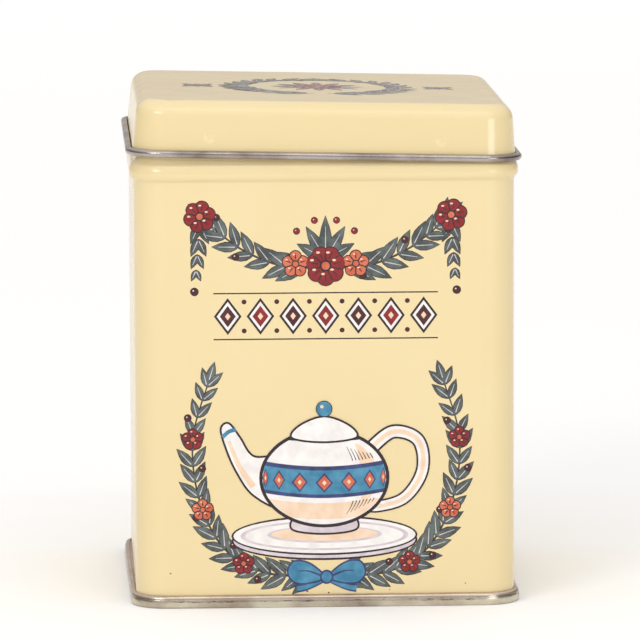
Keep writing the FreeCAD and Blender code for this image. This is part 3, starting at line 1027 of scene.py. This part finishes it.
@dataclass
class FrontPrint(PrintedFace):
    """The front's print: a laurel festoon, a row of lozenges, and a teapot in an open laurel wreath."""

    name: str = "front_print"
    sink: float = 0.004
    festoon: tuple[Point, ...] = ((3.5, 68.3), (9.5, 68.9), (16.0, 71.6), (21.0, 75.2), (24.0, 78.0))
    festoon_end: Point = (25.0, 78.6)
    festoon_leaf: float = 5.6
    festoon_gap: float = 3.1
    drop_leaf: float = 4.4
    palmette: Point = (0.0, 70.0)
    frieze_level: float = 58.6
    frieze_gap: float = 6.5
    frieze_count: int = 7
    lozenge: Point = (2.75, 3.7)
    dot_level: float = 2.9
    rule_level: float = 4.6
    wreath: tuple[Point, ...] = ((1.5, 6.4), (12.0, 6.9), (20.5, 12.0), (25.4, 22.0), (26.6, 34.0),
                                 (23.4, 45.5))
    wreath_leaf: float = 5.2
    wreath_gap: float = 3.0
    knot: Point = (0.0, 6.0)
    pot_centre: Point = (-0.4, 26.0)
    pot_wide: float = 12.6
    pot_tall: float = 9.6
    band_gap: float = 23.0
    specks: tuple[tuple[Point, float], ...] = (((-31.2, 7.0), 0.17), ((-3.9, 3.1), 0.22), ((0.4, 2.8), 0.2),
                                               ((12.6, 3.3), 0.13), ((27.8, 4.4), 0.14))

    @property
    def seat(self) -> Matrix:
        """The front wall's place."""
        return Matrix.Translation((0.0, self.sink - TIN.half, 0.0)) @ Matrix.Rotation(math.pi / 2, 4, "X")

    def lay_festoon(self) -> None:
        """Lays the hanging branches, their rosettes, the palmette between them and the drops at the ends."""
        for side in (-1, 1):
            self.branch(1, mirrored(self.festoon, side), self.festoon_leaf, self.festoon_gap)
            end = Vector((self.festoon_end[0] * side, self.festoon_end[1]))
            for number in range(4):
                size = self.drop_leaf - 0.7 * number
                root = end - Vector((-side * 0.25 * number, 1.4 + 3.1 * number))
                for turn in (-24, 24):
                    self.edged_leaf(1, root, math.radians(-90 + turn), size, size * 0.4)
            self.berry(5, end - Vector((-side * 1.1, 15.0)), 0.7)
            self.rosette(8, end, 3.1, 6)
            self.rosette(8, Vector((6.0 * side, 69.0)), 2.6, 5, Ink.ORANGE)
        root = Vector(self.palmette)
        for turn in (-62, -31, 0, 31, 62):
            self.edged_leaf(5, root, math.radians(90 + turn), 8.6 - abs(turn) * 0.035, 2.3)
        for turn in (-46, -16, 16, 46):
            self.berry(5, root + ray(math.radians(90 + turn)) * 8.0, 0.55, Ink.RED)
        self.rosette(9, Vector((0.0, 68.6)), 3.9, 7)

    def lay_frieze(self) -> None:
        """Lays the row of double-edged lozenges with dots between two fine rules."""
        wide, tall = self.lozenge
        for number in range(self.frieze_count):
            across = (number - (self.frieze_count - 1) / 2) * self.frieze_gap
            middle = Vector((across, self.frieze_level))
            core = Ink.RED if number % 2 else Ink.BERRY
            for layer, (ink, scale) in enumerate(
                    ((Ink.PLUM, 1.0), (Ink.WHITE, 0.8), (core, 0.58), (Ink.BLUSH, 0.2)), 1):
                self.oval(ink, layer, middle, wide * scale, tall * scale, 4)
            if number:
                for level in (self.dot_level, -self.dot_level):
                    self.spot(Ink.BERRY, 1, middle + Vector((-self.frieze_gap / 2, level)), 0.5, 12)
        half = self.frieze_gap * self.frieze_count / 2 - 0.4
        for level in (-self.rule_level, self.rule_level):
            rule = [(place * half, self.frieze_level + level) for place in (-1, -0.33, 0.33, 1)]
            self.stroke(Ink.PLUM, 1, rule, 0.26)

    def lay_wreath(self) -> None:
        """Lays the two branches, a few rosettes on them and the bow that ties them."""
        for side in (-1, 1):
            points = mirrored(self.wreath, side)
            self.branch(1, points, self.wreath_leaf, self.wreath_gap)
            for share, ink in ((0.30, Ink.RED), (0.56, Ink.ORANGE), (0.80, Ink.RED)):
                self.rosette(8, smooth_path(points)(share), 2.1, 5, ink)
            loop = mirrored(((0.4, 6.0), (3.4, 8.8), (6.6, 9.2), (7.8, 7.0), (6.4, 4.9), (3.2, 4.8)), side)
            self.blob(Ink.BLUE, 13, loop, Ink.NAVY, 0.35)
            fold = mirrored(((1.2, 6.3), (3.6, 7.2), (5.6, 7.2)), side)
            self.stroke(Ink.NAVY, 14, fold, 0.5, (1.0, 0.2))
            tail = mirrored(((0.3, 5.6), (2.4, 4.6), (4.4, 3.9), (6.0, 3.7)), side)
            self.stroke(Ink.NAVY, 11, tail, 1.7, (0.6, 1.0))
            self.stroke(Ink.BLUE, 12, tail, 1.0, (0.6, 1.0))
        self.oval(Ink.NAVY, 15, Vector(self.knot), 1.35, 1.45)
        self.oval(Ink.BLUE, 16, Vector(self.knot), 1.0, 1.1)

    def on_pot(self, across: float, up: float, sag: float = 1.3) -> Vector:
        """Finds a point of the pot's belly, on rings seen from a little above.

        Args:
            across: From -1 to 1 round its front.
            up: From -1 to 1 up it.
            sag: How far the widest ring hangs down in its middle.

        Returns:
            The point on the front.
        """
        share = 1 - up ** 2
        drop = sag * (1 - across ** 2) * share
        return Vector(self.pot_centre) + Vector((
            across * self.pot_wide * math.sqrt(share), up * self.pot_tall - drop))

    def lay_plate(self) -> None:
        """Lays the plate that the pot stands on."""
        middle = Vector((self.pot_centre[0], 14.4))
        for layer, (ink, wide, tall, drop) in enumerate((
                (Ink.PLUM, 18.6, 4.0, 1.0), (Ink.LILAC, 18.2, 3.6, 1.0), (Ink.PLUM, 18.6, 4.0, 0.0),
                (Ink.WHITE, 18.2, 3.6, 0.0), (Ink.LILAC, 16.8, 3.0, 0.0), (Ink.WHITE, 15.8, 2.6, 0.0),
                (Ink.LILAC, 11.5, 1.7, -0.2), (Ink.BLUSH, 10.6, 1.4, -0.3)), 9):
            self.oval(ink, layer, middle - Vector((0.0, drop)), wide, tall, 48)

    def lay_pot(self) -> None:
        """Lays the teapot with its spout, handle, foot, cover, knob and banded belly."""
        middle = Vector(self.pot_centre)
        spout = ((-9.5, 29.6), (-14.6, 30.6), (-17.2, 34.4), (-19.4, 37.2), (-21.0, 36.2), (-20.2, 32.6),
                 (-18.0, 27.4), (-14.6, 22.6), (-9.0, 20.4))
        self.blob(Ink.WHITE, 18, spout, Ink.PLUM)
        self.stroke(Ink.BLUSH, 20, ((-19.4, 33.6), (-17.4, 28.6), (-14.6, 24.4)), 1.3, (0.5, 1.0))
        self.stroke(Ink.BLUE, 21, ((-18.0, 35.9), (-19.4, 35.5), (-20.7, 34.4)), 0.8)
        handle = ((9.0, 32.0), (13.4, 35.2), (18.4, 33.4), (19.2, 27.4), (15.8, 22.0), (10.6, 20.2),
                  (7.0, 20.4))
        for layer, (ink, width) in enumerate(((Ink.PLUM, 3.0), (Ink.WHITE, 2.2), (Ink.BLUSH, 0.9)), 18):
            self.stroke(ink, layer, handle, width, (1.0, 0.8))
        foot = ((-6.8, 15.6), (middle.x, 14.7), (6.0, 15.6), (5.2, 18.4), (middle.x, 18.8), (-6.0, 18.4))
        self.blob(Ink.LILAC, 18, foot, Ink.PLUM)
        cover = ((-6.8, 34.1), (-5.4, 36.6), (middle.x, 38.4), (4.6, 36.6), (6.0, 34.1), (middle.x, 33.2))
        self.blob(Ink.WHITE, 30, cover, Ink.PLUM)
        self.berry(32, Vector((middle.x, 39.9)), 1.5, Ink.BLUE)
        self.oval(Ink.PLUM, 20, middle, self.pot_wide + 0.4, self.pot_tall + 0.4, 56)
        self.oval(Ink.WHITE, 21, middle, self.pot_wide, self.pot_tall, 56)
        rim = [tuple(self.on_pot(across, 0.82)) for across in (-0.98, -0.5, 0.0, 0.5, 0.98)]
        self.stroke(Ink.PLUM, 25, rim, 0.35)
        self.lay_band()
        turns = [ray(math.tau * number / 16) for number in range(16)]
        edge = [(middle.x + turn.x * self.pot_wide, middle.y + turn.y * self.pot_tall) for turn in turns]
        self.stroke(Ink.PLUM, 28, edge, 0.5, closed=True)

    def lay_ring(self, ink: Ink, layer: int, low: float, high: float) -> None:
        """Lays a ring round the belly between two heights, each from -1 to 1."""
        self.strip(ink, layer, lambda share, side: self.on_pot(
            math.sin(math.pi * (share - 0.5)), low + (high - low) * (side + 1) / 2))

    def lay_band(self) -> None:
        """Lays the belly's blush shading, its blue band with lozenges, and the hatching on its far side."""
        self.lay_ring(Ink.BLUSH, 22, -0.82, -0.42)
        self.patch(Ink.BLUSH, 22, lambda rim: self.on_pot(0.72 + 0.14 * rim.x, 0.1 + 0.62 * rim.y, 0.0), 32)
        self.lay_ring(Ink.NAVY, 23, -0.3, 0.36)
        self.lay_ring(Ink.BLUE, 24, -0.22, 0.28)
        for number in range(-3, 4):
            turn = math.radians(self.band_gap * number)
            spot, thin = self.on_pot(math.sin(turn), 0.03), max(math.cos(turn), 0.3)
            for ink, layer, scale in ((Ink.NAVY, 25, 1.0), (Ink.ORANGE, 26, 0.76), (Ink.BLUSH, 27, 0.26)):
                self.oval(ink, layer, spot, 1.75 * scale * thin, 2.0 * scale, 4)
        for number in range(7):
            low, high = -0.72 + 0.04 * number, -0.4
            for heights, ends in (((low, (low + high) / 2, high), (0.4, 1.0)),
                                  ((0.44, 0.54, 0.7 - 0.03 * number), (1.0, 0.4))):
                line = [tuple(self.on_pot(0.5 + 0.06 * number, up)) for up in heights]
                self.stroke(Ink.PLUM, 23, line, 0.2, ends)

    def build(self) -> None:
        """Makes the front's films, and the specks of dirt near the foot."""
        self.lay_festoon()
        self.lay_frieze()
        self.lay_wreath()
        self.lay_plate()
        self.lay_pot()
        for place, radius in self.specks:
            self.oval(Ink.STEM, 1, Vector(place), radius, radius * 0.8, 8)
        self.press()


@dataclass
class TopPrint(PrintedFace):
    """The lid's print: a round laurel wreath about a rosette, with a leaf star at each side."""

    name: str = "top_print"
    sink: float = 0.001
    lid: Lid = field(default_factory=Lid)
    radius: float = 16.5
    wreath_leaf: float = 6.0
    wreath_gap: float = 3.4
    star_place: float = 24.6
    star_leaf: float = 4.4

    @property
    def seat(self) -> Matrix:
        """The lid's top, where the lid sits."""
        return self.lid.seat() @ Matrix.Translation((0.0, 0.0, self.lid.rise - self.sink))

    def build(self) -> None:
        """Makes the lid's films."""
        arc = [tuple(ray(math.radians(-85 + 170 * step / 8)) * self.radius) for step in range(9)]
        for side in (-1, 1):
            self.branch(0, mirrored(arc, side), self.wreath_leaf, self.wreath_gap, 2)
            middle = Vector((self.star_place * side, 0.0))
            for number in range(8):
                long = self.star_leaf * (1.0 if number % 2 else 0.7)
                self.edged_leaf(0, middle, math.tau * number / 8, long, long * 0.42)
            self.berry(3, middle, 0.8, Ink.RED)
        for number in range(12):
            aim = math.tau * number / 12
            self.edged_leaf(0, ray(aim) * 4.0, aim, 5.4, 2.0)
        self.rosette(3, Vector((0.0, 0.0)), 5.0, 8)
        self.press()


# ---- studio


@dataclass(frozen=True)
class Softbox:
    """A soft studio light, placed by its bearing round the tin, its height angle and its distance."""

    name: str
    bearing: float
    height: float
    distance: float
    width: float
    tall: float
    power: float

    def build(self, target: Vector) -> None:
        """Hangs the light so that it faces its target.

        Args:
            target: The place that it faces and is placed round.
        """
        lamp = bpy.data.lights.new(self.name, "AREA")
        lamp.shape = "RECTANGLE"
        lamp.size, lamp.size_y = self.width, self.tall
        lamp.energy = self.power
        item = bpy.data.objects.new(self.name, lamp)
        across, height = ray(math.radians(self.bearing)), ray(math.radians(self.height))
        away = Vector((across.y * height.x, -across.x * height.x, height.y))
        item.location = target + away * self.distance
        item.rotation_euler = away.to_track_quat("Z", "Y").to_euler()
        bpy.context.scene.collection.objects.link(item)


@dataclass
class Studio:
    """A pale floor, an even dome that is greyer near the horizon, soft lights and the camera."""

    floor_size: float = 9000.0
    floor_colours: tuple[str, str] = ("#fdfcfb", "#f6f5f3")
    floor_drift: Point = (0.0, 0.06)
    glow_reach: Point = (0.1, 1.6)
    glow: Point = (0.03, 0.16)
    front_horizon: str = "#84827f"
    back_horizon: str = "#c6bfbb"
    back_band: Point = (0.0, 0.8)
    side_horizon: str = "#4c4844"
    side_band: Point = (0.35, 0.8)
    zenith_band: Point = (0.12, 0.75)
    zenith_strength: float = 1.03
    camera_place: tuple[float, float, float] = (-0.05527, -1.22366, 0.20752)
    camera_target: tuple[float, float, float] = (0.0006, 0.0004, 0.0529)
    camera_roll: float = -0.2
    camera_lens: float = 338.4
    camera_clip: Point = (0.05, 50.0)
    boxes: tuple[Softbox, ...] = (
        Softbox("right_softbox", 31.0, 5.2, 1.7, 0.62, 0.3, 3.0),
        Softbox("left_softbox", -34.0, 26.0, 1.7, 0.66, 0.34, 6.0),
        Softbox("front_softbox", 2.0, 34.0, 2.4, 3.2, 2.0, 5.5),
        Softbox("overhead_strip", 0.0, 54.0, 1.8, 2.4, 0.15, 3.2),
    )

    def build_floor(self) -> None:
        """Lays the floor, with a painted glow in it that grows further back, so that it is white to its far
        edge.
        """
        bm = bmesh.new()
        bmesh.ops.create_grid(bm, x_segments=1, y_segments=1, size=self.floor_size / 2 * MM)
        material, tree, place = start_material("matt_white_paper")
        tone = spread(tree, noise(tree, place, 60.0), (0.3, 0.7), self.floor_drift)
        # Painted glow: the floor emits a little light, more the further back it lies.
        behind = add_node(tree, "ShaderNodeSeparateXYZ", {"Vector": place}).outputs["Y"]
        shade(tree, {
            "Base Color": blend_colours(tree, tone, *(linear(colour) for colour in self.floor_colours)),
            "Roughness": 0.9, "Emission Strength": spread(tree, behind, self.glow_reach, self.glow)})
        floor = make_object("floor", bm, [material])

    def build_dome(self) -> None:
        """Lights the scene from all round, brighter overhead."""
        world = bpy.data.worlds.new("dome")
        world.use_nodes = True
        tree = world.node_tree
        tree.nodes.clear()
        place = add_node(tree, "ShaderNodeTexCoord").outputs["Generated"]
        axes = add_node(tree, "ShaderNodeSeparateXYZ", {"Vector": place}).outputs
        behind = spread(tree, axes["Y"], self.back_band, (0.0, 1.0))
        horizon = blend_colours(tree, behind, linear(self.front_horizon), linear(self.back_horizon))
        aside = add_node(tree, "ShaderNodeMath", {0: axes["X"]}, operation="ABSOLUTE").outputs["Value"]
        aside = spread(tree, aside, self.side_band, (0.0, 1.0))
        horizon = blend_colours(tree, aside, horizon, linear(self.side_horizon))
        share = spread(tree, axes["Z"], self.zenith_band, (0.0, 1.0))
        colour = blend_colours(tree, share, horizon, [self.zenith_strength] * 3 + [1.0])
        light = add_node(tree, "ShaderNodeBackground", {"Color": colour, "Strength": 1.0})
        add_node(tree, "ShaderNodeOutputWorld", {"Surface": light.outputs["Background"]})
        bpy.context.scene.world = world

    def build_camera(self) -> None:
        """Sets up the camera."""
        lens = bpy.data.cameras.new("camera")
        lens.sensor_width, lens.lens = 36.0, self.camera_lens
        lens.clip_start, lens.clip_end = self.camera_clip
        camera = bpy.data.objects.new("camera", lens)
        place = Vector(self.camera_place)
        look = (place - Vector(self.camera_target)).to_track_quat("Z", "Y").to_matrix()
        roll = Matrix.Rotation(math.radians(self.camera_roll), 3, "Z")
        camera.matrix_world = Matrix.Translation(place) @ (look @ roll).to_4x4()
        bpy.context.scene.collection.objects.link(camera)
        bpy.context.scene.camera = camera

    def build(self) -> None:
        """Makes the whole studio."""
        self.build_floor()
        self.build_dome()
        self.build_camera()
        for box in self.boxes:
            box.build(Vector(self.camera_target))
        view = bpy.context.scene.view_settings
        view.view_transform, view.look, view.exposure, view.gamma = "Standard", "None", 0.0, 1.0


def main() -> None:
    """Builds the tin from the foot up, then the studio, and logs each part once it is built."""
    logging.basicConfig(level=logging.INFO, format="%(name)s: %(message)s")
    for part in (Base(), BodyShell(), Lid(), FrontPrint(), TopPrint(), Studio()):
        part.build()
        LOG.info("built %s", type(part).__name__)
    bpy.context.view_layer.update()


if __name__ == "__main__":
    main()
